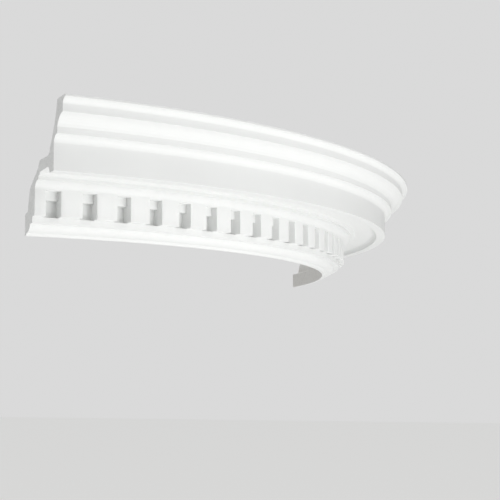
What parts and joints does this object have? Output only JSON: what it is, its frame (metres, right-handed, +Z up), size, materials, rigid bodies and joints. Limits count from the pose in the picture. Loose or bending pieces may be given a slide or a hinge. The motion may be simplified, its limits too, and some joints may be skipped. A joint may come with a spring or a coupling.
{
  "type": "curved cornice moulding length",
  "caption": "Curved dentil cornice length for a rounded wall, hollow at the back, with a flat seat at the ceiling and square cut ends.",
  "frame": {"origin": "on the flat ceiling seat, at the middle of the curved length", "axes": "+Z up into the ceiling, -Y out from the wall at the middle of the length, X along the run there"},
  "size_m": [1.2372, 0.3497, 0.15],
  "materials": {
    "primed_polyurethane": "matte white primer on moulded polyurethane"
  },
  "bodies": {
    "root": {"cornice_length": "primed_polyurethane"}
  },
  "joints": []
}
